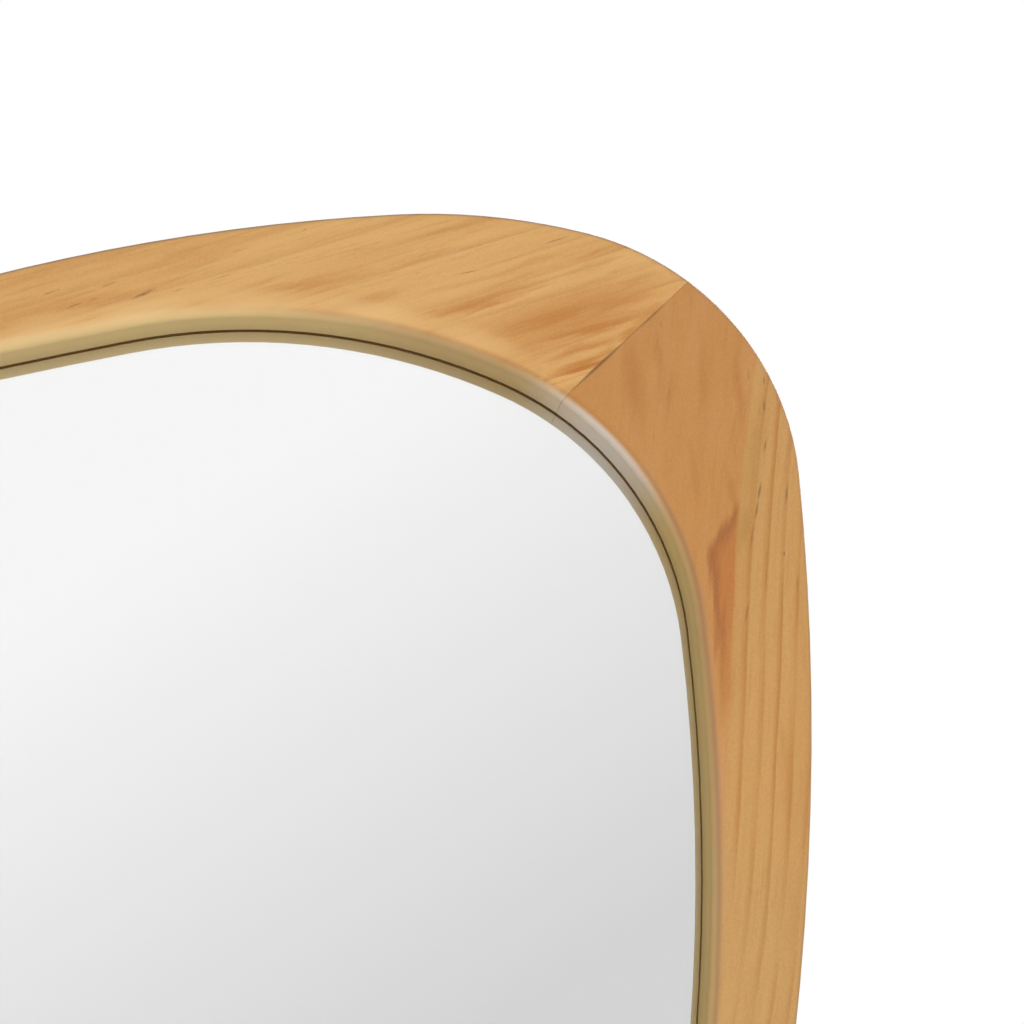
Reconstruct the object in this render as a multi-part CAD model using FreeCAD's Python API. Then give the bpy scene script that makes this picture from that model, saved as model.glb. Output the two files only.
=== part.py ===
import FreeCAD, Part
import math
import os

# Wall mirror with an asymmetric pine frame, in millimetres.
# X runs to the right as seen from the front, Z is up and the front faces -Y.
# The origin lies midway between the two wall hooks, on the wall plane y = 0.

# Outer outline: a bowed side passes through its point, square to its normal, and arcs round the corners
TOP_X = -9.2
TOP_Z = 177.5
TOP_NORMAL_ANGLE = 103.75
TOP_BOW_R = 872.0
LEFT_X = -299.7
LEFT_Z = -276.0
LEFT_NORMAL_ANGLE = 185.04
LEFT_BOW_R = 1400.0
BOTTOM_X = 111.3
BOTTOM_Z = -550.5
BOTTOM_NORMAL_ANGLE = 279.25
BOTTOM_BOW_R = 700.0
RIGHT_X = 233.2
RIGHT_Z = -379.5
RIGHT_NORMAL_ANGLE = 341.09
RIGHT_BOW_R = 1181.0
SHOULDER_ANGLE = 95.72
SHOULDER_R = 277.6
TOP_RIGHT_R = 122.1
TOP_LEFT_R = 175.0
LOWER_LEFT_R = 145.0
LOWER_RIGHT_R = 126.0

# Opening at the glass: its sides keep these rail widths at the points above
TOP_WIDTH = 37.4
LEFT_WIDTH = 47.2
BOTTOM_WIDTH = 53.8
RIGHT_WIDTH = 32.9
OPENING_TOP_BOW_R = 3000.0
OPENING_LEFT_BOW_R = 900.0
OPENING_BOTTOM_BOW_R = 600.0
OPENING_RIGHT_BOW_R = 896.0
OPENING_SHOULDER_ANGLE = 103.9
OPENING_SHOULDER_R = 270.1
OPENING_TOP_RIGHT_R = 137.5
OPENING_TOP_LEFT_R = 220.0
OPENING_LOWER_LEFT_R = 146.0
OPENING_LOWER_RIGHT_R = 190.0

# Section of the frame
LIP_DEPTH = 21.0
WALL_FLARE_ANGLE = 2.0
INNER_ROUND = 6.0
OUTER_ROUND = 3.0
BACK_ROUND = 2.0
REBATE_WIDTH = 9.0

# Sheets in the rebate, from the front; hairlines keep the faces of the glass clear of the lip and the coating
GLASS_CLEARANCE = 0.1
GLASS_THICKNESS = 2.88
COATING_GAP = 0.02
COATING_THICKNESS = 0.1
CARD_THICKNESS = 0.9
BACKING_THICKNESS = 5.0
SHEET_CLEARANCE = 1.0
GLASS_BEVEL = 0.5
COATING_MARGIN = 1.5
BACKING_BEVEL = 0.6

# Mitres: where each one ends on the outer corner arc, and how it runs
MITRE_ANGLE = 45.0
TOP_RIGHT_MITRE_END_ANGLE = 53.2
TOP_LEFT_MITRE_END_ANGLE = 133.0
LOWER_LEFT_MITRE_END_ANGLE = 224.0
LOWER_RIGHT_MITRE_END_ANGLE = 312.0
MITRE_GAP_INNER = 0.14
MITRE_GAP_OUTER = 0.1
DOWEL_DIAMETER = 8.0
DOWEL_LENGTH = 40.0
DOWEL_CHAMFER = 1.0
DOWEL_EDGE = 13.0
DOWEL_CLEARANCE = 0.1
DOWEL_END_SPACE = 1.0

# Turn buttons
BUTTON_COUNT = 8
FIRST_BUTTON_ANGLE = 22.5
BUTTON_THICKNESS = 1.2
BUTTON_PIVOT_R = 5.5
BUTTON_NOSE_R = 3.2
BUTTON_REACH = 16.0
BUTTON_SETBACK = 9.0
BUTTON_PLAY = 0.1
BUTTON_BORE_CLEARANCE = 0.1
BUTTON_EDGE = 0.3

# Round-head wood screws
SCREW_DIAMETER = 3.0
SCREW_LENGTH = 13.0
SCREW_POINT = 3.0
SCREW_HEAD_DIAMETER = 6.4
SCREW_HEAD_HEIGHT = 2.0
SCREW_SLOT_WIDTH = 0.9
SCREW_SLOT_LENGTH = 3.8
SCREW_SLOT_DEPTH = 1.1
PILOT_CLEARANCE = 0.05
PILOT_END_SPACE = 1.0

# Hangers: folded strap with a D ring
LEFT_HANGER_INSET = 25.18
RIGHT_HANGER_INSET = 21.3
RING_WIRE = 2.5
RING_WIDTH = 22.0
RING_HEIGHT = 18.0
RING_CORNER = 3.0
EYELET_CLEARANCE = 0.1
STRAP_SHEET = 0.8
STRAP_WIDTH = 13.0
STRAP_LENGTH = 38.0
STRAP_EDGE = 0.3
UPPER_SCREW_DROP = 8.5
LOWER_SCREW_DROP = 30.0

# Wall bumpers
BUMPER_DIAMETER = 12.0
BUMPER_ROUND = 1.5
BUMPER_INSET = 15.0
LEFT_BUMPER_ANGLE = 236.0
RIGHT_BUMPER_ANGLE = 304.0
WALL_CLEARANCE = 1.2

# Levels from the wall to the front, along -Y
EYELET_HOLE_R = RING_WIRE / 2 + EYELET_CLEARANCE
EYELET_R = EYELET_HOLE_R + STRAP_SHEET
BUMPER_HEIGHT = 2 * EYELET_R + WALL_CLEARANCE
BACK_Y = -BUMPER_HEIGHT
CARD_Y = BACK_Y - BACKING_THICKNESS
COATING_Y = CARD_Y - CARD_THICKNESS
GLASS_BACK_Y = COATING_Y - COATING_THICKNESS - COATING_GAP
GLASS_Y = GLASS_BACK_Y - GLASS_THICKNESS
LIP_Y = GLASS_Y - GLASS_CLEARANCE
FRONT_Y = LIP_Y - LIP_DEPTH
BAR_Y = BACK_Y + EYELET_R
BAR_Z = RING_WIRE / 2 - RING_HEIGHT
SHEET_GROW = REBATE_WIDTH - SHEET_CLEARANCE

Vector = FreeCAD.Vector
REARWARD = Vector(0, 1, 0)


def direction(angle):
    return math.cos(math.radians(angle)), math.sin(math.radians(angle))


# An outline is a list of arcs (centre x, centre z, radius, start angle, end angle), anticlockwise


def bowed_side(x, z, normal, radius):
    """Circle of a side that passes through a point, square to the outward normal there."""
    out_x, out_z = direction(normal)
    return x - radius * out_x, z - radius * out_z, radius


def corner_circle(first, second, radius):
    """Circle that rounds the corner from one side's circle to the next, touching both from inside."""
    x1, z1, r1 = first
    x2, z2, r2 = second
    reach1 = r1 - radius
    reach2 = r2 - radius
    span = math.hypot(x2 - x1, z2 - z1)
    along = (reach1 ** 2 - reach2 ** 2 + span ** 2) / (2 * span)
    across = math.sqrt(reach1 ** 2 - along ** 2)
    ux = (x2 - x1) / span
    uz = (z2 - z1) / span
    return x1 + along * ux - across * uz, z1 + along * uz + across * ux, radius


def shoulder_circle(side, angle, radius):
    """Tighter circle that takes over from a side's circle at the given angle."""
    x, z, r = side
    out_x, out_z = direction(angle)
    return x + (r - radius) * out_x, z + (r - radius) * out_z, radius


def touch_angle(first, second):
    """Angle of the point where one circle touches the other from inside."""
    large, small = (first, second) if first[2] > second[2] else (second, first)
    return math.degrees(math.atan2(small[1] - large[1], small[0] - large[0])) % 360


def join_arcs(circles):
    """Outline along circles that touch one another in turn."""
    starts = [touch_angle(circles[i - 1], circles[i]) for i in range(len(circles))]
    arcs = []
    for i, (x, z, r) in enumerate(circles):
        end = starts[(i + 1) % len(circles)]
        arcs.append((x, z, r, starts[i], end if end > starts[i] else end + 360))
    return arcs


def closed_outline(sides, shoulder_angle, shoulder_r, corner_radii):
    """Outline anticlockwise from the upper right corner, and its four corner circles."""
    top, left, bottom, right = sides
    shoulder = shoulder_circle(top, shoulder_angle, shoulder_r)
    turns = [(right, shoulder), (top, left), (left, bottom), (bottom, right)]
    corners = [corner_circle(*turn, radius) for turn, radius in zip(turns, corner_radii)]
    circles = [corners[0], shoulder, top, corners[1], left, corners[2], bottom, corners[3], right]
    return join_arcs(circles), corners


def outline_wire(arcs, grow, y):
    """Wire of the outline, offset outwards by grow, at depth y."""
    edges = []
    for x, z, r, start, end in arcs:
        points = []
        for angle in (start, (start + end) / 2, end):
            cx, cz = direction(angle)
            points.append(Vector(x + (r + grow) * cx, y, z + (r + grow) * cz))
        edges.append(Part.Arc(*points).toShape())
    return Part.Wire(edges)


def sheet(arcs, grow, front_y, back_y):
    """Flat sheet with the offset outline, between two depths."""
    face = Part.Face(outline_wire(arcs, grow, front_y))
    return face.extrude(REARWARD * (back_y - front_y))


def ray_hit(arcs, grow, start_x, start_z, angle):
    """Where a ray from inside meets the offset outline: x, z and the angle of the outward normal."""
    dx, dz = direction(angle)
    for x, z, r, start, end in arcs:
        ox = start_x - x
        oz = start_z - z
        half = ox * dx + oz * dz
        root = half ** 2 - ox ** 2 - oz ** 2 + (r + grow) ** 2
        if root < 0:
            continue
        reach = math.sqrt(root) - half
        normal = math.degrees(math.atan2(oz + reach * dz, ox + reach * dx))
        if reach > 0 and (normal - start) % 360 <= end - start:
            return start_x + reach * dx, start_z + reach * dz, normal
    raise ValueError("the ray misses the outline")


def edges_at(shape, y):
    """Edges of the shape that lie wholly at depth y."""
    return [e for e in shape.Edges if abs(e.BoundBox.YMin - y) < 1e-4 and abs(e.BoundBox.YMax - y) < 1e-4]


side_points = [
    (TOP_X, TOP_Z, TOP_NORMAL_ANGLE, TOP_BOW_R, TOP_WIDTH, OPENING_TOP_BOW_R),
    (LEFT_X, LEFT_Z, LEFT_NORMAL_ANGLE, LEFT_BOW_R, LEFT_WIDTH, OPENING_LEFT_BOW_R),
    (BOTTOM_X, BOTTOM_Z, BOTTOM_NORMAL_ANGLE, BOTTOM_BOW_R, BOTTOM_WIDTH, OPENING_BOTTOM_BOW_R),
    (RIGHT_X, RIGHT_Z, RIGHT_NORMAL_ANGLE, RIGHT_BOW_R, RIGHT_WIDTH, OPENING_RIGHT_BOW_R),
]
outer_sides = []
opening_sides = []
for x, z, normal, bow_r, width, opening_bow_r in side_points:
    out_x, out_z = direction(normal)
    outer_sides.append(bowed_side(x, z, normal, bow_r))
    opening_sides.append(bowed_side(x - width * out_x, z - width * out_z, normal, opening_bow_r))

outer_radii = [TOP_RIGHT_R, TOP_LEFT_R, LOWER_LEFT_R, LOWER_RIGHT_R]
outer, outer_corners = closed_outline(outer_sides, SHOULDER_ANGLE, SHOULDER_R, outer_radii)
opening_radii = [OPENING_TOP_RIGHT_R, OPENING_TOP_LEFT_R, OPENING_LOWER_LEFT_R, OPENING_LOWER_RIGHT_R]
opening, opening_corners = closed_outline(
    opening_sides, OPENING_SHOULDER_ANGLE, OPENING_SHOULDER_R, opening_radii)
MIDDLE_X = sum(c[0] for c in opening_corners) / 4
MIDDLE_Z = sum(c[1] for c in opening_corners) / 4

# Frame ring before it is cut into four rails
blank = sheet(outer, 0, FRONT_Y, BACK_Y)
blank = blank.makeFillet(OUTER_ROUND, edges_at(blank, FRONT_Y))
blank = blank.makeFillet(BACK_ROUND, edges_at(blank, BACK_Y))
wall_back = outline_wire(opening, 0, LIP_Y)
wall_front = outline_wire(opening, LIP_DEPTH * math.tan(math.radians(WALL_FLARE_ANGLE)), FRONT_Y)
flared_hole = Part.makeLoft([wall_back, wall_front], True, True)
ring = blank.cut([flared_hole, sheet(opening, REBATE_WIDTH, LIP_Y, BACK_Y)])
front_face = [f for f in ring.Faces if abs(f.BoundBox.YMax - FRONT_Y) < 1e-4][0]
inner_edges = min(front_face.Wires, key=lambda w: w.BoundBox.DiagonalLength).Edges
ring = ring.makeFillet(INNER_ROUND, inner_edges)

# Mitre lines, from the opening to the outer edge
mitre_places = [TOP_RIGHT_MITRE_END_ANGLE, TOP_LEFT_MITRE_END_ANGLE]
mitre_places += [LOWER_LEFT_MITRE_END_ANGLE, LOWER_RIGHT_MITRE_END_ANGLE]
mitres = []
for quarter in range(4):
    corner_x, corner_z, corner_r = outer_corners[quarter]
    place_x, place_z = direction(mitre_places[quarter])
    outer_x = corner_x + corner_r * place_x
    outer_z = corner_z + corner_r * place_z
    run = MITRE_ANGLE + 90 * quarter
    run_x, run_z = direction(run)
    start_x = outer_x - 2 * corner_r * run_x
    start_z = outer_z - 2 * corner_r * run_z
    inner_x, inner_z, normal = ray_hit(opening, 0, start_x, start_z, run)
    length = math.hypot(outer_x - inner_x, outer_z - inner_z)
    mitres.append((inner_x, inner_z, run_x, run_z, length))


def mitre_point(mitre, along, side):
    """Point beside a mitre line; along is 0 at the opening and 1 at the outer edge."""
    inner_x, inner_z, run_x, run_z, length = mitre
    gap = MITRE_GAP_INNER + (MITRE_GAP_OUTER - MITRE_GAP_INNER) * along
    x = inner_x + along * length * run_x - side * gap / 2 * run_z
    z = inner_z + along * length * run_z + side * gap / 2 * run_x
    return Vector(x, FRONT_Y, z)


# Rails: top, left, bottom and right, each from one mitre to the next
rails = []
for quarter in range(4):
    first = mitres[quarter]
    second = mitres[(quarter + 1) % 4]
    corners = [mitre_point(first, -0.5, 1), mitre_point(first, 3, 1)]
    corners += [mitre_point(second, 3, -1), mitre_point(second, -0.5, -1)]
    sector = Part.Face(Part.makePolygon(corners + corners[:1])).extrude(REARWARD * (BACK_Y - FRONT_Y))
    rails.append(ring.common(sector))

# Dowels across the mitres, and their holes
rail_holes = []
dowels = []
dowel_y = (FRONT_Y + LIP_Y) / 2
for inner_x, inner_z, run_x, run_z, length in mitres:
    for along in (REBATE_WIDTH + DOWEL_EDGE, length - DOWEL_EDGE):
        centre = Vector(inner_x + along * run_x, dowel_y, inner_z + along * run_z)
        axis = Vector(-run_z, 0, run_x)
        dowel = Part.makeCylinder(DOWEL_DIAMETER / 2, DOWEL_LENGTH, centre - axis * (DOWEL_LENGTH / 2), axis)
        end_rims = [e for e in dowel.Edges if len(e.Vertexes) == 1]
        dowels.append(dowel.makeChamfer(DOWEL_CHAMFER, end_rims))
        hole_length = DOWEL_LENGTH + 2 * DOWEL_END_SPACE
        hole_r = DOWEL_DIAMETER / 2 + DOWEL_CLEARANCE
        hole_start = centre - axis * (hole_length / 2)
        rail_holes.append(Part.makeCylinder(hole_r, hole_length, hole_start, axis))

# Sheets in the rebate
glass = sheet(opening, SHEET_GROW, GLASS_Y, GLASS_BACK_Y)
glass = glass.makeChamfer(GLASS_BEVEL, edges_at(glass, GLASS_Y) + edges_at(glass, GLASS_BACK_Y))
coating = sheet(opening, SHEET_GROW - COATING_MARGIN, GLASS_BACK_Y + COATING_GAP, COATING_Y)
card = sheet(opening, SHEET_GROW, COATING_Y, CARD_Y)
backing = sheet(opening, SHEET_GROW, CARD_Y, BACK_Y)
backing = backing.makeChamfer(BACKING_BEVEL, edges_at(backing, BACK_Y))


def wood_screw(x, seat_y, z):
    """Round-head wood screw with its head seated at seat_y and its point towards the front."""
    shank_r = SCREW_DIAMETER / 2
    head_r = SCREW_HEAD_DIAMETER / 2
    dome_r = (head_r ** 2 + SCREW_HEAD_HEIGHT ** 2) / (2 * SCREW_HEAD_HEIGHT)
    top_y = seat_y + SCREW_HEAD_HEIGHT
    half_y = top_y - dome_r + math.sqrt(dome_r ** 2 - (head_r / 2) ** 2)
    point = Vector(x, seat_y - SCREW_LENGTH, z)
    taper = Vector(x + shank_r, seat_y - SCREW_LENGTH + SCREW_POINT, z)
    neck = Vector(x + shank_r, seat_y, z)
    rim = Vector(x + head_r, seat_y, z)
    top = Vector(x, top_y, z)
    dome = Part.Arc(rim, Vector(x + head_r / 2, half_y, z), top).toShape()
    edges = Part.makePolygon([top, point, taper, neck, rim]).Edges + [dome]
    screw = Part.Face(Part.Wire(edges)).revolve(Vector(x, 0, z), REARWARD, 360)
    for wide, high in ((SCREW_SLOT_LENGTH, SCREW_SLOT_WIDTH), (SCREW_SLOT_WIDTH, SCREW_SLOT_LENGTH)):
        corner = Vector(x - wide / 2, top_y - SCREW_SLOT_DEPTH, z - high / 2)
        screw = screw.cut(Part.makeBox(wide, SCREW_SLOT_DEPTH, high, corner))
    return screw


def pilot_hole(x, seat_y, z):
    """Hole for a wood screw seated at seat_y, open at the back of the rail."""
    deep_y = seat_y - SCREW_LENGTH - PILOT_END_SPACE
    hole_r = SCREW_DIAMETER / 2 + PILOT_CLEARANCE
    return Part.makeCylinder(hole_r, BACK_Y - deep_y, Vector(x, deep_y, z), REARWARD)


def turn_button(x, z, aim):
    """Flat steel button with a round pivot end and a smaller nose that points along aim."""
    front_y = BACK_Y + BUTTON_PLAY
    aim_x, aim_z = direction(aim)
    lean = math.degrees(math.acos((BUTTON_PIVOT_R - BUTTON_NOSE_R) / BUTTON_REACH))
    ends = ((x, z, BUTTON_PIVOT_R), (x + BUTTON_REACH * aim_x, z + BUTTON_REACH * aim_z, BUTTON_NOSE_R))
    rims = []
    for (cx, cz, r), middle in zip(ends, (180, 0)):
        row = []
        for angle in (aim + lean, aim + middle, aim - lean):
            dx, dz = direction(angle)
            row.append(Vector(cx + r * dx, front_y, cz + r * dz))
        rims.append(row)
    tail, nose = rims
    edges = [Part.Arc(*tail).toShape(), Part.makeLine(tail[2], nose[2])]
    edges += [Part.Arc(*nose).toShape(), Part.makeLine(nose[0], tail[0])]
    plate = Part.Face(Part.Wire(Part.__sortEdges__(edges))).extrude(REARWARD * BUTTON_THICKNESS)
    plate = plate.makeFillet(BUTTON_EDGE, edges_at(plate, front_y + BUTTON_THICKNESS))
    bore_r = SCREW_DIAMETER / 2 + BUTTON_BORE_CLEARANCE
    return plate.cut(Part.makeCylinder(bore_r, BUTTON_THICKNESS, Vector(x, front_y, z), REARWARD))


# Turn buttons round the rebate, each square to its edge
buttons = []
button_screws = []
button_seat_y = BACK_Y + BUTTON_THICKNESS + 2 * BUTTON_PLAY
for i in range(BUTTON_COUNT):
    ray = FIRST_BUTTON_ANGLE + i * 360 / BUTTON_COUNT
    edge_x, edge_z, normal = ray_hit(opening, REBATE_WIDTH, MIDDLE_X, MIDDLE_Z, ray)
    out_x, out_z = direction(normal)
    pivot_x = edge_x + BUTTON_SETBACK * out_x
    pivot_z = edge_z + BUTTON_SETBACK * out_z
    buttons.append(turn_button(pivot_x, pivot_z, normal + 180))
    button_screws.append(wood_screw(pivot_x, button_seat_y, pivot_z))
    rail_holes.append(pilot_hole(pivot_x, button_seat_y, pivot_z))


def hanger_strap(x):
    """Steel strap folded round the ring's bar, with two screw holes and a round lower end."""
    plate_y = BACK_Y + 2 * STRAP_SHEET
    end_z = BAR_Z - STRAP_LENGTH
    left_x = x - STRAP_WIDTH / 2
    crease_drop = math.sqrt(EYELET_R ** 2 - (plate_y - BAR_Y) ** 2)
    start = Vector(left_x, BACK_Y, BAR_Z)
    crease = Vector(left_x, plate_y, BAR_Z - crease_drop)
    loop_top = Vector(left_x, BAR_Y, BAR_Z + EYELET_R)
    loop = Part.Arc(start, loop_top, crease).toShape()
    tail = Part.makePolygon([crease, Vector(left_x, plate_y, end_z), Vector(left_x, BACK_Y, end_z), start])
    strap = Part.Face(Part.Wire([loop] + tail.Edges)).extrude(Vector(STRAP_WIDTH, 0, 0))
    eyelet_start = Vector(left_x, BAR_Y, BAR_Z)
    strap = strap.cut(Part.makeCylinder(EYELET_HOLE_R, STRAP_WIDTH, eyelet_start, Vector(1, 0, 0)))
    low_edges = [e for e in strap.Edges if e.BoundBox.ZMax < end_z + 0.01]
    end_edges = [e for e in low_edges if e.BoundBox.YLength > STRAP_SHEET]
    strap = strap.makeFillet(STRAP_WIDTH / 2 - STRAP_EDGE, end_edges)
    for drop in (UPPER_SCREW_DROP, LOWER_SCREW_DROP):
        hole_r = SCREW_DIAMETER / 2 + PILOT_CLEARANCE
        hole_start = Vector(x, BACK_Y, BAR_Z - drop)
        strap = strap.cut(Part.makeCylinder(hole_r, 2 * STRAP_SHEET, hole_start, REARWARD))
    return strap


def d_ring(x):
    """Wire ring: straight bar in the eyelet, two legs and a half-round top."""
    half = RING_WIDTH / 2
    leg_z = BAR_Z + RING_HEIGHT - half
    turn = RING_CORNER * (1 - math.sqrt(0.5))

    def at(dx, z):
        return Vector(x + dx, BAR_Y, z)

    path = [Part.makeLine(at(RING_CORNER - half, BAR_Z), at(half - RING_CORNER, BAR_Z))]
    right_turn = (at(half - RING_CORNER, BAR_Z), at(half - turn, BAR_Z + turn), at(half, BAR_Z + RING_CORNER))
    path.append(Part.Arc(*right_turn).toShape())
    path.append(Part.makeLine(at(half, BAR_Z + RING_CORNER), at(half, leg_z)))
    path.append(Part.Arc(at(half, leg_z), at(0, BAR_Z + RING_HEIGHT), at(-half, leg_z)).toShape())
    path.append(Part.makeLine(at(-half, leg_z), at(-half, BAR_Z + RING_CORNER)))
    left_turn = (at(-half, BAR_Z + RING_CORNER), at(turn - half, BAR_Z + turn), at(RING_CORNER - half, BAR_Z))
    path.append(Part.Arc(*left_turn).toShape())
    section = Part.Wire(Part.makeCircle(RING_WIRE / 2, at(RING_CORNER - half, BAR_Z), Vector(1, 0, 0)))
    return Part.Wire(path).makePipeShell([section], True, False)


# Hangers with their screws
straps = []
d_rings = []
hanger_screws = []
strap_seat_y = BACK_Y + 2 * STRAP_SHEET
strap_z = BAR_Z - STRAP_LENGTH / 2
left_edge_x = ray_hit(outer, 0, MIDDLE_X, strap_z, 180)[0]
right_edge_x = ray_hit(outer, 0, MIDDLE_X, strap_z, 0)[0]
for hook_x in (left_edge_x + LEFT_HANGER_INSET, right_edge_x - RIGHT_HANGER_INSET):
    straps.append(hanger_strap(hook_x))
    d_rings.append(d_ring(hook_x))
    for drop in (UPPER_SCREW_DROP, LOWER_SCREW_DROP):
        hanger_screws.append(wood_screw(hook_x, strap_seat_y, BAR_Z - drop))
        rail_holes.append(pilot_hole(hook_x, strap_seat_y, BAR_Z - drop))

# Wall bumpers near the lower corners
bumpers = []
for ray in (LEFT_BUMPER_ANGLE, RIGHT_BUMPER_ANGLE):
    edge_x, edge_z, normal = ray_hit(outer, 0, MIDDLE_X, MIDDLE_Z, ray)
    out_x, out_z = direction(normal)
    foot = Vector(edge_x - BUMPER_INSET * out_x, BACK_Y, edge_z - BUMPER_INSET * out_z)
    bumper = Part.makeCylinder(BUMPER_DIAMETER / 2, BUMPER_HEIGHT, foot, REARWARD)
    bumpers.append(bumper.makeFillet(BUMPER_ROUND, edges_at(bumper, BACK_Y + BUMPER_HEIGHT)))

top_rail, left_rail, bottom_rail, right_rail = [rail.cut(rail_holes) for rail in rails]

nodes = {
    "top_rail": top_rail,
    "right_rail": right_rail,
    "bottom_rail": bottom_rail,
    "left_rail": left_rail,
    "mitre_dowels": Part.makeCompound(dowels),
    "mirror_glass": glass,
    "silver_coating": coating,
    "liner_card": card,
    "backing_board": backing,
    "turn_button_screws": Part.makeCompound(button_screws),
    "hanger_strap_left": straps[0],
    "hanger_strap_right": straps[1],
    "hanger_ring_left": d_rings[0],
    "hanger_ring_right": d_rings[1],
    "hanger_screws": Part.makeCompound(hanger_screws),
    "wall_bumpers": Part.makeCompound(bumpers),
}
for i, button in enumerate(buttons):
    nodes["turn_button_%d" % (i + 1)] = button

os.makedirs("parts", exist_ok=True)
for name, shape in nodes.items():
    shape.exportStep("parts/" + name + ".step")
    print(name, len(shape.Solids), "solids", round(shape.Volume, 1), "mm3")
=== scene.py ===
import math

import bpy
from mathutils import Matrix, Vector


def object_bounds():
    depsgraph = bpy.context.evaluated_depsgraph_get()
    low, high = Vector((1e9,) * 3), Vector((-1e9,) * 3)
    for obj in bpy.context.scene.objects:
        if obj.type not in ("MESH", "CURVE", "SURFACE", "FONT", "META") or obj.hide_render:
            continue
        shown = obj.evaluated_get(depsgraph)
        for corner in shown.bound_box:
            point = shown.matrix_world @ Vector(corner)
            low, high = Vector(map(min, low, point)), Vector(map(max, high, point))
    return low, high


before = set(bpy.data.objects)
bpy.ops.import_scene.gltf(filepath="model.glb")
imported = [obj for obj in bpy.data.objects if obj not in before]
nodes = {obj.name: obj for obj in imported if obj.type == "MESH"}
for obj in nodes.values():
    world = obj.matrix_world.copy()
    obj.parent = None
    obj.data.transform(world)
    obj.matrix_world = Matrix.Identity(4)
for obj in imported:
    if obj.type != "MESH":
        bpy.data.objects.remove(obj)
cad_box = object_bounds()
scene = bpy.context.scene
scene.view_settings.view_transform = "Standard"


def turned_to(place, aim):
    """Rotation of a camera or lamp that looks from one place to another."""
    return (Vector(aim) - Vector(place)).to_track_quat("-Z", "Y").to_euler()


# Camera at the photograph's viewing angle, low in front of the glass and looking up at the corner
CAMERA_PLACE = (0.047, -1.0355, -0.197)
CAMERA_AIM = (0.164, -0.0355, 0.060)
CAMERA_LENS = 83.025
SENSOR_WIDTH = 36.0
camera_data = bpy.data.cameras.new("photo_camera")
camera_data.lens = CAMERA_LENS
camera_data.sensor_width = SENSOR_WIDTH
camera = bpy.data.objects.new("photo_camera", camera_data)
camera.location = CAMERA_PLACE
camera.rotation_euler = turned_to(CAMERA_PLACE, CAMERA_AIM)
scene.collection.objects.link(camera)
scene.camera = camera


def linear(red, green, blue):
    """Shader colour of an 8-bit screen colour, by the sRGB curve."""
    def channel(value):
        value /= 255
        return value / 12.92 if value <= 0.04045 else ((value + 0.055) / 1.055) ** 2.4
    return channel(red), channel(green), channel(blue), 1.0


# Materials measure in mm: depths along y, the middle of the opening, and the reach of soft spots
MM_PER_METRE = 1000.0
FRONT_LEVEL = -35.5
GLASS_LEVEL = -14.5
FLAT_LEVEL = 0.0
OPENING_MIDDLE = (0.0, 0.0, -180.0)
BACKWARD = (0, 1, 0)
SPOT_HALF_DEPTH = 14.0
SPOT_RIM = 1.0
SPOT_CORE = 0.1


class NodeTree:
    """Short ways to add nodes to one node tree."""

    def __init__(self, tree):
        self.tree = tree

    def node(self, kind, **settings):
        node = self.tree.nodes.new(kind)
        for key, value in settings.items():
            setattr(node, key, value)
        return node

    def put(self, value, socket):
        """Links a socket to an input, or sets the input to a number or colour."""
        if isinstance(value, bpy.types.NodeSocket):
            self.tree.links.new(value, socket)
        else:
            socket.default_value = value

    def math(self, operation, *values):
        node = self.node("ShaderNodeMath", operation=operation)
        for value, socket in zip(values, node.inputs):
            self.put(value, socket)
        return node.outputs[0]

    def product(self, first, *others):
        """All values multiplied, from the left."""
        for other in others:
            first = self.math("MULTIPLY", first, other)
        return first

    def between(self, amount, first, second):
        """The first value where the amount is 0, and the second where it is 1."""
        rise = self.math("SUBTRACT", second, first)
        return self.math("ADD", first, self.math("MULTIPLY", amount, rise))

    def vector(self, operation, first, second=None, scale=None):
        node = self.node("ShaderNodeVectorMath", operation=operation)
        self.put(first, node.inputs[0])
        if second is not None:
            self.put(second, node.inputs[1])
        if scale is not None:
            self.put(scale, node.inputs["Scale"])
        return node.outputs["Value" if operation in ("DOT_PRODUCT", "LENGTH") else "Vector"]


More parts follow.
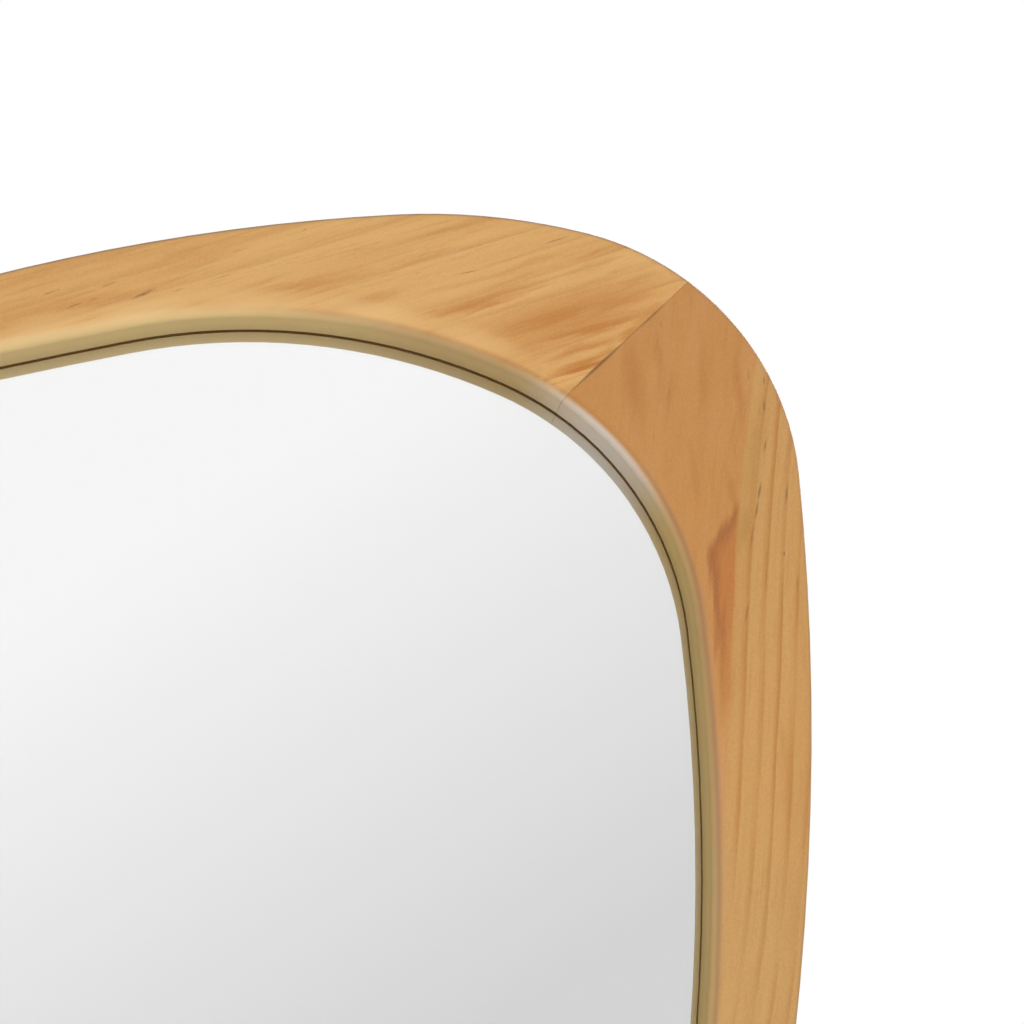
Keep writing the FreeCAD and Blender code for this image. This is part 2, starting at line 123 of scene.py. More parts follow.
class Shader(NodeTree):
    """One material and its surface patterns, which are measured in mm in the frame of the part."""

    def __init__(self, name):
        self.material = bpy.data.materials.new(name)
        self.material.use_nodes = True
        super().__init__(self.material.node_tree)
        self.bsdf = self.tree.nodes["Principled BSDF"]
        place = self.node("ShaderNodeTexCoord").outputs["Object"]
        self.place = self.vector("SCALE", place, scale=MM_PER_METRE)

    def point(self, x, y, z):
        node = self.node("ShaderNodeCombineXYZ")
        for value, socket in zip((x, y, z), node.inputs):
            self.put(value, socket)
        return node.outputs[0]

    def noise(self, place, size, detail, roughness=0.5):
        """Noise of 0 to 1 whose pattern has a given size along each direction."""
        node = self.node("ShaderNodeTexNoise")
        stretched = self.vector("MULTIPLY", place, tuple(1 / length for length in size))
        self.put(stretched, node.inputs["Vector"])
        node.inputs["Scale"].default_value = 1.0
        node.inputs["Detail"].default_value = detail
        node.inputs["Roughness"].default_value = roughness
        return node.outputs["Fac"]

    def ramp(self, value, low, high, start=0.0, end=1.0):
        """Smooth step from start, where the value is low, to end, where it is high."""
        node = self.node("ShaderNodeMapRange", interpolation_type="SMOOTHSTEP")
        items = {"Value": value, "From Min": low, "From Max": high, "To Min": start, "To Max": end}
        for key, item in items.items():
            self.put(item, node.inputs[key])
        return node.outputs["Result"]

    def mix(self, amount, first, second, blend="MIX"):
        node = self.node("ShaderNodeMix", data_type="RGBA", blend_type=blend)
        self.put(amount, node.inputs["Factor"])
        self.put(first, node.inputs["A"])
        self.put(second, node.inputs["B"])
        return node.outputs["Result"]

    def spots(self, place, items, level=FRONT_LEVEL):
        """Strongest of several soft ellipses: (x, z, angle, half length, half width, strength)."""
        total = None
        for x, z, angle, half_length, half_width, strength in items:
            node = self.node("ShaderNodeMapping", vector_type="TEXTURE")
            self.put(place, node.inputs["Vector"])
            node.inputs["Location"].default_value = (x, level, z)
            node.inputs["Rotation"].default_value = (0, -math.radians(angle), 0)
            node.inputs["Scale"].default_value = (half_length, SPOT_HALF_DEPTH, half_width)
            distance = self.vector("LENGTH", node.outputs[0])
            mask = self.ramp(distance, SPOT_RIM, SPOT_CORE, 0.0, strength)
            total = mask if total is None else self.math("MAXIMUM", total, mask)
        return total

    def beyond(self, place, x, z, angle, soft):
        """0 to 1 across a line through a point; the angle points to the side that is 1."""
        way = (math.cos(math.radians(angle)), 0.0, math.sin(math.radians(angle)))
        along = self.vector("DOT_PRODUCT", place, way)
        level = x * way[0] + z * way[2]
        return self.ramp(along, level - soft / 2, level + soft / 2)

    def bump(self, height, strength, distance):
        node = self.node("ShaderNodeBump")
        node.inputs["Strength"].default_value = strength
        node.inputs["Distance"].default_value = distance
        self.put(height, node.inputs["Height"])
        self.put(node.outputs[0], self.bsdf.inputs["Normal"])

    def finish(self, **values):
        """Sets or links inputs of the surface shader; names use _ for a space."""
        for key, value in values.items():
            self.put(value, self.bsdf.inputs[key.replace("_", " ")])
        return self.material


# Colours of the pine: faces, growth rings, resin, sawn inner wall with painted sheen and shade, rounded
# edges with painted highlight and shade, painted shade on edges, and back with the lip's painted light
HONEY = linear(221, 173, 107)
HONEY_DEEP = linear(213, 161, 95)
HONEY_PALE = linear(223, 179, 116)
ORANGE = linear(188, 119, 46)
HEART = linear(194, 137, 74)
HEART_DEEP = linear(180, 117, 59)
HEART_PINK = linear(200, 147, 94)
FLAME = linear(184, 114, 52)
FLAME_EDGE = linear(158, 98, 48)
SAP = linear(185, 137, 77)
SAP_DULL = linear(188, 151, 95)
LATE = linear(180, 122, 59)
RESIN = linear(134, 91, 50)
OCHRE = linear(176, 131, 64)
RAW = linear(240, 214, 166)
# underside of the lip: partly bare wood, partly painted light on its shade
LIP_LIGHTENED = linear(255, 206, 116)
# inner wall tone: partly the sawn wood, partly painted sheen
WALL = linear(232, 203, 141)
# painted shade on part of the inner wall
WALL_SHADED = linear(198, 170, 117)
# right inner wall tone, brighter as painted light where the lamps light it less
WALL_RIGHT = linear(243, 209, 134)
# painted sheen on the inner wall at the corner
WALL_SHEEN = linear(251, 242, 227)
# painted highlight on the rounded inner edge
ROUND_HIGHLIGHT = linear(236, 208, 158)
# painted shade on the rounded inner edge
ROUND_SHADE = linear(188, 150, 108)
# pale tone of a painted highlight along the inner edge of the top rail
EDGE_HIGHLIGHT = linear(230, 188, 126)
# brown of painted shade towards the glass and along the outer edge
SHADE_BROWN = linear(120, 84, 46)
WALL_SHADE = (0.74, 0.70, 0.76, 1.0)

# Sizes of the pine's patterns: along the grain, across it and into the board
WANDER = (90, 16, 16)
FEATHER = (26, 2.6, 2.6)
BROAD_BAND = (210, 15, 15)
CLOUD = (46, 8, 8)
NARROW_BAND = (30, 1.9, 1.9)
FIBRE = (9, 0.55, 0.55)
GRIT = (1.1, 0.75, 0.75)
RING_PATCH = (60, 8, 8)
SPECK = (7.0, 0.42, 0.42)
SPECK_FIELD = (60, 22, 22)
DASH_BREAK = (5, 1.2, 1.2)

# How far the fibres and the boundary of the heartwood wander, and what share of it other marks follow
WANDER_WIDTH = 4.0
FEATHER_WIDTH = 9.0
BOUNDARY_WIDTH = 2.4
BOUNDARY_SOFT = 1.2
STREAK_SHARE = 0.45
DASH_SHARE = 0.14

# Growth rings: how far along the board they bend, how they lean into it, and the dark line within a ring
BEND_REACH = 150.0
RING_LEAN = 0.6
RING_RISE = 0.35
RING_PEAK = 0.88

# Stretches along the grain, downwards on the right rail, over which the look changes
RINGS_FADE = (-30.0, -100.0)
SAP_DULLS = (-30.0, -110.0)
HEART_PINKENS = (10.0, -50.0)
HEART_FADES = (-170.0, -290.0)

# Depths at which painted shade darkens the inner wall towards the glass and below its rounded edge, and the
# lip begins
GLASS_SHADE_LEVEL = -26.0
UPPER_SHADE_LEVELS = (-27.5, -32.5)
LIP_LEVELS = (-11.0, -14.0)

# Lines that bound a mark: x and z of a point, the angle to the marked side, and the softness
FLAME_LEFT = (252, 25, 4, 4.0)
FLAME_TOP = (256, 52, -36, 5.0)
FLAME_CORE_LEFT = (256, 25, 4, 6.0)
FLAME_CORE_TOP = (259, 48, -36, 7.0)
FLAME_FOOT = (255, -6, 90, 70)
FLAME_STRENGTH = 0.8
UPPER_SHADE_LEFT = (70, 0, 0, 90)

# Soft ellipses: x, z, angle, half length, half width and strength
MITRE_STAIN = [(203.5, 129.4, 44.3, 21, 1.3, 0.8), (228, 153.5, 44.3, 12, 1.1, 0.5)]
# painted shade on part of the top rail's inner wall
SHADED_WALL_SPOT = [(150, 128, -25, 80, 22, 0.5)]
# painted sheen on the inner wall at the corner
CORNER_SHEEN = [(210, 99, -45, 64, 24, 1.0)]
# painted highlight on the top rail's rounded inner edge
TOP_ROUNDING_HIGHLIGHT = [(-60, 130, 0, 240, 70, 0.6)]
# painted shade on the right rail's rounded inner edge
RIGHT_ROUNDING_SHADE = [(245, -60, 90, 260, 60, 0.7)]
# painted highlight along the inner edge of the top rail
TOP_EDGE_HIGHLIGHT = [
    (-92, 117, 22, 45, 8.0, 0.65), (-46, 135.5, 19, 44, 8.0, 0.65), (0, 147, 12, 45, 8.0, 0.65),
    (49, 153.4, 1.7, 45, 8.0, 0.65), (102, 150, -9, 45, 8.0, 0.7), (148, 138.9, -18, 36, 8.0, 0.5),
]
TOP_STREAKS = [
    (190, 151, 22, 60, 19.0, 0.6), (150, 157.5, 21, 44, 5.6, 0.7), (186, 153, 21, 56, 7.8, 0.8),
    (211, 159, 20, 30, 5.6, 0.7), (198, 146, 16, 46, 4.6, 0.9), (198, 137.5, 19, 27, 3.4, 0.8),
    (196, 129, 23, 29, 3.4, 1.0), (226, 152, 35, 14, 4.8, 0.6), (219, 145.5, 30, 14, 4.2, 0.8),
    (206, 134, 34, 12, 3.4, 0.6), (202, 182, 26, 14, 3.0, 0.4), (123, 178, 22, 28, 3.8, 0.2),
    (64, 160, 15, 62, 4.4, 0.35), (100, 155, 22, 22, 3.2, 0.3), (-27, 149, 13, 38, 4.2, 0.35),
    (22, 170, 23, 32, 3.6, 0.3),
]
TOP_DASHES = [
    (-40, 154, 23, 5, 0.6, 1.0), (-30, 148, 24, 5, 0.5, 0.7), (-22, 151, 18, 3, 0.5, 0.5),
    (0, 154.5, 27, 7, 1.0, 2.0), (15, 157, 24, 4, 0.6, 0.35), (34, 164, 20, 11, 0.6, 0.4),
    (41, 177, 23, 7, 0.5, 0.4), (144, 171, 16, 9, 0.5, 0.7), (184, 188, 22, 9, 0.5, 0.6),
    (70, 188, 30, 3, 0.5, 0.5), (-15.2, 158.4, 24, 5, 0.8, 0.6),
]
RIGHT_DASHES = [
    (278.7, 125, 85, 3.0, 0.8, 0.6), (278.4, 113, 92, 4.5, 0.9, 0.9), (278.4, 94, 80, 6.0, 0.8, 0.8),
    (275.2, 72.7, 79, 6.0, 0.8, 0.8), (273.6, 64, 80, 7.0, 0.9, 0.8), (271.4, 52, 81, 9.0, 0.9, 0.5),
    (287.6, 72, 82, 7.0, 0.8, 0.8), (285.6, 44.6, 88, 1.6, 0.9, 0.9), (291.6, 32, 85, 7.0, 0.7, 0.5),
    (268.2, 17.6, 80, 6.0, 0.7, 0.8), (277.4, 37, 86, 14.0, 0.5, 0.35), (271.5, 128, 88, 5.0, 0.7, 0.5),
    (284, 24, 87, 17.0, 0.6, 0.4), (235, 117, 84, 10.0, 0.5, 0.4), (228, 96, 100, 4.0, 0.5, 0.4),
]
OCHRE_STREAKS = [(272.5, 86, 80, 48, 6.5, 0.35), (268.2, 57, 79, 17, 5.0, 0.6)]
HEART_STREAKS = [
    (219, 121, 97, 30, 7.0, 0.65), (231, 133, 94, 28, 3.0, 0.45), (235, 116, 82, 18, 2.2, 0.45),
    (267, 120, 93, 28, 3.0, 0.6), (263, 71, 100, 18, 3.0, 0.55), (251, 126, 92, 30, 3.4, 0.3),
    (246, 82, 98, 22, 3.0, 0.35),
]


class Pine(Shader):
    """Lacquered pine board; the grain runs at an angle in the front face and may bend along the board."""

    def __init__(self, name, grain_angle, seed, bend, bend_middle):
        super().__init__(name)
        angle = math.radians(grain_angle)
        across_way = (-math.sin(angle), 0, math.cos(angle))
        self.along = self.vector("DOT_PRODUCT", self.place, (math.cos(angle), 0, math.sin(angle)))
        across = self.vector("DOT_PRODUCT", self.place, across_way)
        if bend:
            from_middle = self.math("SUBTRACT", self.along, bend_middle)
            from_middle = self.math("MAXIMUM", from_middle, -BEND_REACH)
            from_middle = self.math("MINIMUM", from_middle, BEND_REACH)
            square = self.math("MULTIPLY", from_middle, from_middle)
            cube = self.math("MULTIPLY", from_middle, square)
            across = self.math("MULTIPLY_ADD", cube, bend, across)
        self.depth = self.vector("DOT_PRODUCT", self.place, BACKWARD)
        self.flat_place = self.vector("MULTIPLY", self.place, (1, 0, 1))
        self.grain = self.point(self.math("ADD", self.along, seed), across, self.depth)
        self.cloud = self.noise(self.grain, CLOUD, detail=3)
        self.narrow = self.noise(self.grain, NARROW_BAND, detail=2)
        self.fibres = self.noise(self.grain, FIBRE, detail=2, roughness=0.6)
        self.inner = None

        # fibres wander a little to either side, and the rings lean on their way into the board
        wander = self.noise(self.grain, WANDER, detail=2)
        self.feather = self.noise(self.grain, FEATHER, detail=3)
        wide = self.either_side(wander, WANDER_WIDTH)
        fine = self.either_side(self.feather, FEATHER_WIDTH)
        self.sideways = self.vector("SCALE", across_way, scale=self.math("ADD", wide, fine))
        inward = self.math("SUBTRACT", self.depth, FRONT_LEVEL)
        leaning = self.math("MULTIPLY_ADD", inward, RING_LEAN, across)
        leaning = self.math("ADD", leaning, -WANDER_WIDTH / 2)
        self.across_warped = self.math("MULTIPLY_ADD", wander, WANDER_WIDTH, leaning)

        # how far the surface faces away from the middle of the opening, and to the back
        facing = self.node("ShaderNodeNewGeometry").outputs["Normal"]
        outward = self.vector("NORMALIZE", self.vector("SUBTRACT", self.flat_place, OPENING_MIDDLE))
        self.turned = self.vector("DOT_PRODUCT", facing, outward)
        self.rearward = self.vector("DOT_PRODUCT", facing, BACKWARD)
        self.rounded = self.ramp(self.turned, -0.05, -0.6)
        # where the inner wall at the corner gets a painted sheen, and its painted shade is weaker
        self.corner = self.spots(self.flat_place, CORNER_SHEEN, level=FLAT_LEVEL)

        # broad bands and clouds of tone
        broad = self.noise(self.grain, BROAD_BAND, detail=2)
        self.colour = self.mix(self.ramp(broad, 0.36, 0.64), HONEY, HONEY_DEEP)
        self.lay(self.ramp(self.cloud, 0.52, 0.78, 0.0, 0.35), HONEY_PALE)

    def either_side(self, noise, width):
        """Noise of 0 to 1 as a distance to either side."""
        return self.math("MULTIPLY_ADD", noise, width, -width / 2)

    def shifted(self, share):
        """The place, moved by a share of the way that the fibres wander."""
        return self.vector("ADD", self.place, self.vector("SCALE", self.sideways, scale=share))

    def lay(self, amount, colour, blend="MIX"):
        """Lays a colour over what the board shows so far."""
        self.colour = self.mix(amount, self.colour, colour, blend)

    def lay_heartwood(self, boundary, streaks):
        """Heartwood on the inner side of the boundary line, sapwood outside it."""
        side = self.math("ADD", self.across_warped, self.either_side(self.feather, BOUNDARY_WIDTH))
        inner = self.ramp(side, boundary - BOUNDARY_SOFT, boundary + BOUNDARY_SOFT)
        self.inner = self.product(inner, self.ramp(self.along, *HEART_FADES, 1.0, 0.2))
        heartwood = self.mix(self.ramp(self.cloud, 0.4, 0.75, 0.0, 0.35), HEART, HEART_PINK)
        heartwood = self.mix(self.ramp(self.along, *HEART_PINKENS, 0.0, 0.8), heartwood, HEART_PINK)
        heartwood = self.mix(self.spots(self.shifted(STREAK_SHARE), streaks), heartwood, HEART_DEEP)
        self.lay(0.65, SAP)
        self.lay(self.inner, heartwood)

    def lay_late_tones(self):
        """Clouds and narrow bands in the tone of the latewood."""
        self.lay(self.ramp(self.cloud, 0.46, 0.24, 0.0, 0.25), LATE)
        self.lay(self.ramp(self.narrow, 0.5, 0.75, 0.0, 0.25), LATE)

    def lay_rings(self, gap, start, strength):
        """Latewood line of each growth ring outside the heartwood; gives the lines back for the bump."""
        phase = self.math("DIVIDE", self.math("SUBTRACT", self.across_warped, start), -gap)
        phase = self.math("FRACT", phase)
        fall = self.ramp(phase, RING_PEAK, 1.0, 1.0, 0.0)
        line = self.math("POWER", self.product(self.ramp(phase, RING_RISE, RING_PEAK), fall), 2.0)
        faintest = self.ramp(self.along, *RINGS_FADE, 0.3, 0.08)
        patch = self.ramp(self.noise(self.grain, RING_PATCH, detail=1), 0.3, 0.6, faintest, 1.0)
        line = self.product(line, patch, strength)
        if self.inner is not None:
            line = self.product(line, self.math("SUBTRACT", 1.0, self.inner))
        self.lay(line, LATE)
        return line

    def lay_sapwood(self):
        """Ochre streaks in the sapwood, and a duller tone low on the board."""
        self.lay(self.spots(self.shifted(STREAK_SHARE), OCHRE_STREAKS), OCHRE)
        self.lay(self.ramp(self.along, *SAP_DULLS, 0.0, 0.35), SAP_DULL)

    def lay_streaks(self, streaks):
        """Orange streaks with feathered edges."""
        comb = self.ramp(self.feather, 0.3, 0.65, 0.75, 1.0)
        self.lay(self.product(self.spots(self.shifted(1.0), streaks), comb), ORANGE)

    def lay_flame(self):
        """Reddish flame in the heartwood, with a darker rim on its left and top."""
        place = self.shifted(1.0)
        flame = self.product(self.beyond(place, *FLAME_LEFT), self.beyond(place, *FLAME_TOP))
        core = self.product(self.beyond(place, *FLAME_CORE_LEFT), self.beyond(place, *FLAME_CORE_TOP))
        fade = self.product(self.beyond(place, *FLAME_FOOT), self.inner)
        rim = self.math("SUBTRACT", flame, self.product(flame, core))
        self.lay(self.product(flame, fade, FLAME_STRENGTH), FLAME)
        self.lay(self.product(rim, fade, FLAME_STRENGTH), FLAME_EDGE)

    def lay_fibres(self):
        """Fine fibres and grit."""
        grit = self.noise(self.grain, GRIT, detail=1)
        self.lay(0.5, self.ramp(self.fibres, 0.2, 0.8, 0.475, 0.525), blend="OVERLAY")
        self.lay(0.5, self.ramp(grit, 0.2, 0.8, 0.445, 0.555), blend="OVERLAY")

    def lay_resin(self, dashes):
        """Specks on every board, and on the boards of the photo its resin dashes and the mitre's stain."""
        specks = self.ramp(self.noise(self.grain, SPECK, detail=0), 0.77, 0.86)
        field = self.ramp(self.noise(self.grain, SPECK_FIELD, detail=1), 0.52, 0.66, 0.0, 0.4)
        specks = self.product(specks, field)
        if dashes:
            broken = self.ramp(self.noise(self.grain, DASH_BREAK, detail=1), 0.36, 0.6, 0.3, 0.95)
            lines = self.product(self.spots(self.shifted(DASH_SHARE), dashes), broken)
            specks = self.math("MAXIMUM", specks, lines)
            specks = self.math("MAXIMUM", specks, self.spots(self.place, MITRE_STAIN))
        self.lay(specks, RESIN)

    def lay_painted_rounding(self, items, colour):
        """A tone on the rounded edge of the opening, painted as a highlight or as shade."""
        self.lay(self.product(self.spots(self.flat_place, items, level=FLAT_LEVEL), self.rounded), colour)

    def lay_inner_wall(self, colour):
        """The inner wall, its sawn tone partly painted sheen, with a painted sheen palest at the corner, a
        patch of painted shade and painted shade towards the glass.
        """
        wall_tone_and_light = self.mix(self.spots(self.flat_place, SHADED_WALL_SPOT, level=FLAT_LEVEL), colour, WALL_SHADED)
        wall_tone_and_light = self.mix(self.corner, wall_tone_and_light, WALL_SHEEN)
        strength = self.ramp(self.corner, 0.0, 1.0, 0.18, 0.0)
        shade = self.product(self.ramp(self.depth, GLASS_SHADE_LEVEL, GLASS_LEVEL), strength)
        wall_tone_and_light = self.mix(shade, wall_tone_and_light, SHADE_BROWN)
        self.lay(self.product(self.ramp(self.turned, -0.45, -0.9), 0.8), wall_tone_and_light)

    def lay_upper_shade(self, strength):
        """A shade below the rounded edge of the inner wall, weaker at the corner and none on the left."""
        near_edge = self.ramp(self.depth, *UPPER_SHADE_LEVELS)
        inward = self.ramp(self.turned, -0.2, -0.6)
        right = self.beyond(self.flat_place, *UPPER_SHADE_LEFT)
        weaker = self.ramp(self.corner, 0.0, 1.0, 1.0, 0.4)
        self.lay(self.product(near_edge, inward, right, weaker, strength), WALL_SHADE, blend="MULTIPLY")

    def lay_arris_shade(self, strength):
        """Painted shade as a dark line along the outer edge of the front."""
        outer = self.ramp(self.turned, 0.3, 0.75)
        front = self.ramp(self.rearward, -0.1, -0.35, 0.0, strength)
        self.lay(self.product(outer, front), SHADE_BROWN)

    def lay_back(self):
        """Bare wood on the back, and the underside of the lip, which the mirror shows, painted very pale:
        partly bare wood, partly painted light on its shade.
        """
        bare = self.ramp(self.rearward, 0.5, 0.9)
        self.lay(self.product(bare, 0.55), RAW)
        self.lay(self.product(bare, self.ramp(self.depth, *LIP_LEVELS, 0.0, 0.95)), LIP_LIGHTENED)

    def lacquered(self, line):
        """The finished material; the ring lines stand out a little."""
        rough = self.ramp(self.narrow, 0.2, 0.8, 0.40, 0.48)
        rough = self.math("MULTIPLY_ADD", self.rounded, 0.3, rough)
        self.bump(self.math("MULTIPLY_ADD", line, 0.4, self.fibres), strength=0.06, distance=0.0004)
        return self.finish(Base_Color=self.colour, Roughness=rough, IOR=1.48, Subsurface_Weight=0.3,
                           Subsurface_Radius=(1.0, 0.55, 0.3), Subsurface_Scale=0.002)


def pine(name, grain_angle, ring_gap, ring_strength, ring_start=0.0, bend=0.0, bend_middle=0.0, seed=0.0,
         streaks=(), dashes=(), heart_streaks=(), edge_highlight=(), wall=WALL, painted_rounding=ROUND_HIGHLIGHT, painted_rounding_spots=(),
         wall_shade=0.0, arris_shade=0.0):
    """Material of one rail; each step lays its colours over those before it."""
    board = Pine(name, grain_angle, seed, bend, bend_middle)
    if heart_streaks:
        board.lay_heartwood(ring_start, heart_streaks)
    board.lay_late_tones()
    line = board.lay_rings(ring_gap, ring_start, ring_strength)
    if heart_streaks:
        board.lay_sapwood()
    if streaks:
        board.lay_streaks(streaks)
    if heart_streaks:
        board.lay_flame()
    board.lay_fibres()
    board.lay_resin(dashes)
    # painted highlight along the inner edge
    if edge_highlight:
        board.lay(board.spots(board.place, edge_highlight), EDGE_HIGHLIGHT)
    # painted highlight or painted shade on the rounded edge
    if painted_rounding_spots:
        board.lay_painted_rounding(painted_rounding_spots, painted_rounding)
    board.lay_inner_wall(wall)
    if wall_shade:
        board.lay_upper_shade(wall_shade)
    # painted shade along the outer edge
    if arris_shade:
        board.lay_arris_shade(arris_shade)
    board.lay_back()
    return board.lacquered(line)


ZINC = (0.66, 0.67, 0.69, 1.0)
DULLED = 0.72
ZINC_DULL = tuple(DULLED * value for value in ZINC[:3]) + (1.0,)


def plated(name, rough, seed):
    """Zinc-plated steel with drawn scratches and faint clouding."""
    s = Shader(name)
    place = s.vector("ADD", s.place, (seed, 0, 0))
    cloud = s.noise(place, (6, 6, 6), detail=3)
    scratch = s.noise(place, (0.25, 4, 3), detail=2)
    tone = s.mix(s.ramp(cloud, 0.3, 0.7), ZINC, ZINC_DULL)
    roughness = s.math("MULTIPLY_ADD", scratch, 0.16, rough - 0.08)
    s.bump(s.math("ADD", scratch, cloud), strength=0.08, distance=0.0002)
    return s.finish(Base_Color=tone, Metallic=1.0, Roughness=roughness)


def fibreboard():
    """Brown hardboard with pressed fibres and flecks."""
    s = Shader("fibreboard")
    cloud = s.noise(s.place, (60, 60, 60), detail=3)
    fibre = s.noise(s.place, (5.0, 1.0, 0.7), detail=4, roughness=0.7)
    cross = s.noise(s.place, (0.7, 1.0, 4.0), detail=4, roughness=0.7)
    fleck = s.ramp(s.noise(s.place, (2.2, 2.2, 1.2), detail=1), 0.66, 0.74)
    colour = s.mix(s.ramp(cloud, 0.35, 0.65), linear(153, 114, 77), linear(147, 108, 72))
    colour = s.mix(s.ramp(fibre, 0.4, 0.7, 0.0, 0.5), colour, linear(186, 147, 105))
    colour = s.mix(s.ramp(cross, 0.45, 0.75, 0.0, 0.45), colour, linear(112, 78, 49))
    colour = s.mix(s.math("MULTIPLY", fleck, 0.7), colour, linear(84, 58, 38))
    s.bump(s.math("ADD", fibre, cross), strength=0.25, distance=0.0004)
    return s.finish(Base_Color=colour, Roughness=0.72)


def rubber():
    """Black moulded rubber with a dusty bloom."""
    s = Shader("black_rubber")
    grit = s.noise(s.place, (0.6, 0.6, 0.6), detail=3)
    bloom = s.noise(s.place, (5, 5, 5), detail=3)
    colour = s.mix(s.ramp(bloom, 0.4, 0.8), linear(30, 30, 31), linear(58, 57, 55))
    s.bump(grit, strength=0.2, distance=0.0002)
    return s.finish(Base_Color=colour, Roughness=s.ramp(grit, 0.2, 0.8, 0.6, 0.8))


def beech():
    """Turned beech dowel with short ray flecks."""
    s = Shader("beech")
    pore = s.noise(s.place, (0.5, 0.5, 3.0), detail=2)
    tone = s.noise(s.place, (6, 6, 20), detail=2)
    colour = s.mix(s.ramp(tone, 0.3, 0.7), linear(214, 178, 138), linear(196, 155, 114))
    colour = s.mix(s.ramp(pore, 0.6, 0.72, 0.0, 0.6), colour, linear(142, 100, 66))
    s.bump(pore, strength=0.2, distance=0.0002)
    return s.finish(Base_Color=colour, Roughness=0.6)


def card():
    """Grey card with pressed paper fibres."""
    s = Shader("grey_card")
    fibre = s.noise(s.place, (2.4, 1.0, 0.8), detail=4, roughness=0.7)
    colour = s.mix(s.ramp(fibre, 0.3, 0.7), linear(168, 164, 156), linear(140, 136, 129))
    s.bump(fibre, strength=0.15, distance=0.0002)
    return s.finish(Base_Color=colour, Roughness=0.85)


def glass():
    """Clear float glass, faintly green."""
    s = Shader("clear_glass")
    return s.finish(Base_Color=(0.985, 0.995, 0.99, 1.0), Roughness=0.0, IOR=1.52, Transmission_Weight=1.0)


def silver():
    """Mirror silver behind the glass."""
    s = Shader("silvering")
    return s.finish(Base_Color=(0.90, 0.89, 0.89, 1.0), Metallic=1.0, Roughness=0.0)


finishes = {
    "top_rail": pine(
        "pine_top", 20.0, ring_gap=11.0, ring_strength=0.25, streaks=TOP_STREAKS, dashes=TOP_DASHES,
        edge_highlight=TOP_EDGE_HIGHLIGHT, painted_rounding_spots=TOP_ROUNDING_HIGHLIGHT, wall_shade=0.75, arris_shade=0.65),
    "right_rail": pine(
        "pine_right", 86.57, ring_gap=7.4, ring_strength=0.85, ring_start=-260.8, bend=2e-6, bend_middle=6.6,
        seed=400.0, dashes=RIGHT_DASHES, heart_streaks=HEART_STREAKS, wall=WALL_RIGHT, painted_rounding=ROUND_SHADE,
        painted_rounding_spots=RIGHT_ROUNDING_SHADE, wall_shade=0.8, arris_shade=0.25),
    "bottom_rail": pine("pine_bottom", 8.0, ring_gap=9.0, ring_strength=0.35, seed=900.0),
    "left_rail": pine("pine_left", 93.0, ring_gap=8.0, ring_strength=0.4, seed=1500.0),
    "mitre_dowels": beech(),
    "mirror_glass": glass(),
    "silver_coating": silver(),
    "liner_card": card(),
    "backing_board": fibreboard(),
    "turn_button_screws": plated("plated_screw", rough=0.30, seed=40.0),
    "wall_bumpers": rubber(),
}
finishes["hanger_screws"] = finishes["turn_button_screws"]
sheet_steel = plated("plated_sheet", rough=0.34, seed=0.0)
strap_steel = plated("plated_strap", rough=0.36, seed=90.0)
wire_steel = plated("plated_wire", rough=0.26, seed=170.0)
for name in nodes:
    if name.startswith("turn_button_") and name not in finishes:
        finishes[name] = sheet_steel
    if name.startswith("hanger_strap"):
        finishes[name] = strap_steel
    if name.startswith("hanger_ring"):
        finishes[name] = wire_steel
for name, material in finishes.items():
    for slot in nodes[name].material_slots:
        slot.material = material


# Pale floor a little below the lowest point of the frame
FLOOR_REACH = 14.0
FLOOR_GAP = 0.002
FLOOR_SIDES = ((-1, -1), (1, -1), (1, 1), (-1, 1))
floor_z = cad_box[0][2] - FLOOR_GAP
floor_corners = [(x * FLOOR_REACH, y * FLOOR_REACH, floor_z) for x, y in FLOOR_SIDES]
floor_mesh = bpy.data.meshes.new("floor")
floor_mesh.from_pydata(floor_corners, [], [(0, 1, 2, 3)])
floor = bpy.data.objects.new("floor", floor_mesh)
scene.collection.objects.link(floor)
floor_shader = Shader("pale_floor")
floor_mesh.materials.append(floor_shader.finish(Base_Color=(0.85, 0.85, 0.85, 1.0), Roughness=0.8))


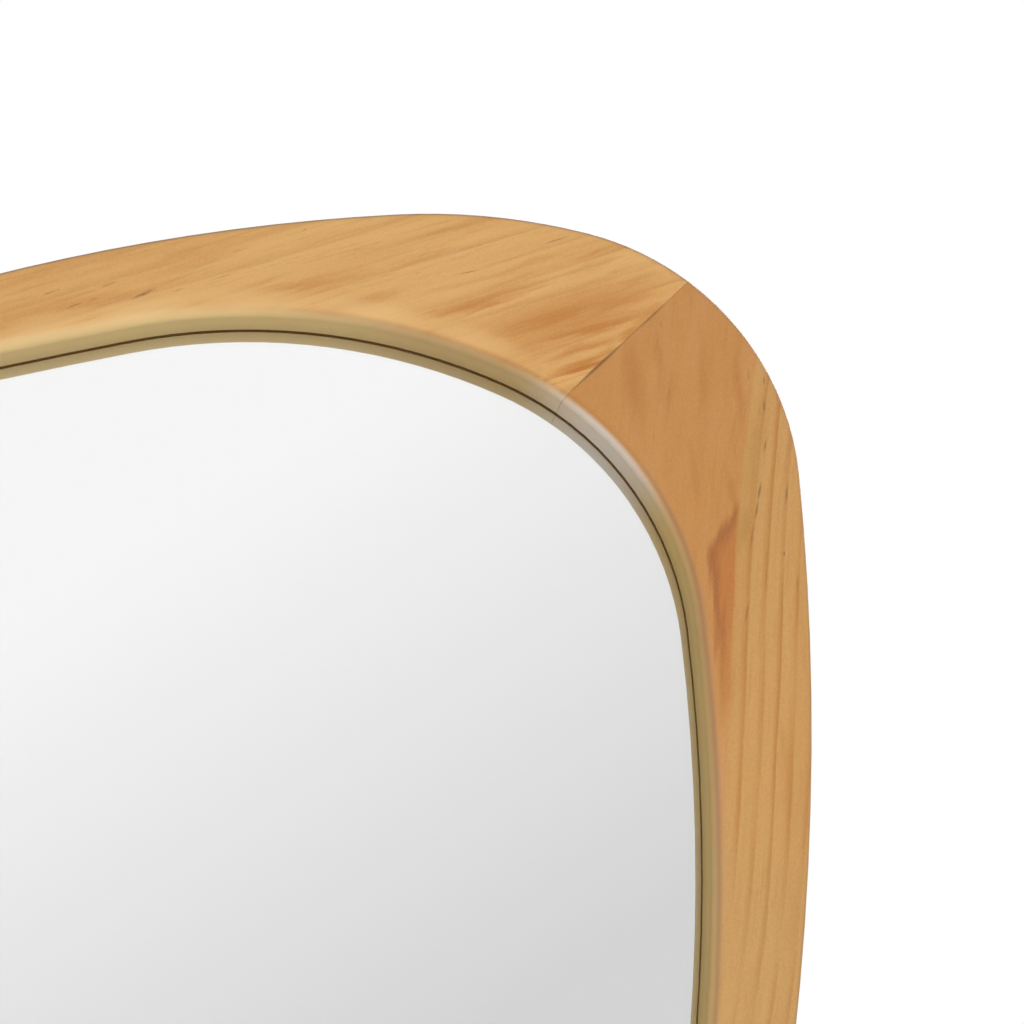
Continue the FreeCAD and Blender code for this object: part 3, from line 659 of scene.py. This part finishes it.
# Studio: white behind the object, an even fill, and a pale gradient for the mirror to show
WHITE = 1.0
FILL = 0.62
GRADIENT_SLOPE = (-0.678, 0.0, 1.036)
GRADIENT_LEVEL = 0.780
GRADIENT_DARKEST = 0.745
GRADIENT_BRIGHTEST = 1.05
world = bpy.data.worlds.new("studio")
scene.world = world
world.use_nodes = True
studio = NodeTree(world.node_tree)
light_path = studio.node("ShaderNodeLightPath")
direction = studio.node("ShaderNodeTexCoord").outputs["Generated"]
gradient = studio.math("ADD", studio.vector("DOT_PRODUCT", direction, GRADIENT_SLOPE), GRADIENT_LEVEL)
gradient = studio.math("MAXIMUM", gradient, GRADIENT_DARKEST)
gradient = studio.math("MINIMUM", gradient, GRADIENT_BRIGHTEST)
glossy = light_path.outputs["Is Glossy Ray"]
transmitted = light_path.outputs["Is Transmission Ray"]
level = studio.between(studio.math("MAXIMUM", glossy, transmitted), FILL, gradient)
level = studio.between(light_path.outputs["Is Camera Ray"], level, WHITE)
background = world.node_tree.nodes["Background"]
background.inputs["Color"].default_value = (1.0, 1.0, 1.0, 1.0)
studio.put(level, background.inputs["Strength"])


def area_light(name, place, aim, width, height, power, mirrored=True):
    """Rectangular lamp that the camera doesn't see, and that may be left out of reflections too."""
    data = bpy.data.lights.new(name, "AREA")
    data.shape = "RECTANGLE"
    data.size = width
    data.size_y = height
    data.energy = power
    lamp = bpy.data.objects.new(name, data)
    lamp.location = place
    lamp.rotation_euler = turned_to(place, aim)
    lamp.visible_camera = False
    lamp.visible_glossy = mirrored
    lamp.visible_transmission = mirrored
    scene.collection.objects.link(lamp)
    return lamp


# The low softbox stands just above the floor, so it leaves the floor out
low_softbox = area_light("low_softbox", place=(0.35, -1.15, -0.46), aim=(0.05, 0.0, 0.05),
                         width=0.9, height=0.22, power=7.0, mirrored=False)
left_out = bpy.data.collections.new("low_softbox_leaves_out")
left_out.objects.link(floor)
left_out.collection_objects[0].light_linking.link_state = "EXCLUDE"
low_softbox.light_linking.receiver_collection = left_out
area_light("front_key", place=(0.0, -2.0, -0.1), aim=(0.05, 0.0, 0.0),
           width=1.4, height=0.7, power=1.6, mirrored=False)
area_light("back_fill", place=(1.4, 1.8, 1.3), aim=(0.0, 0.0, -0.2),
           width=1.6, height=1.6, power=30.0)
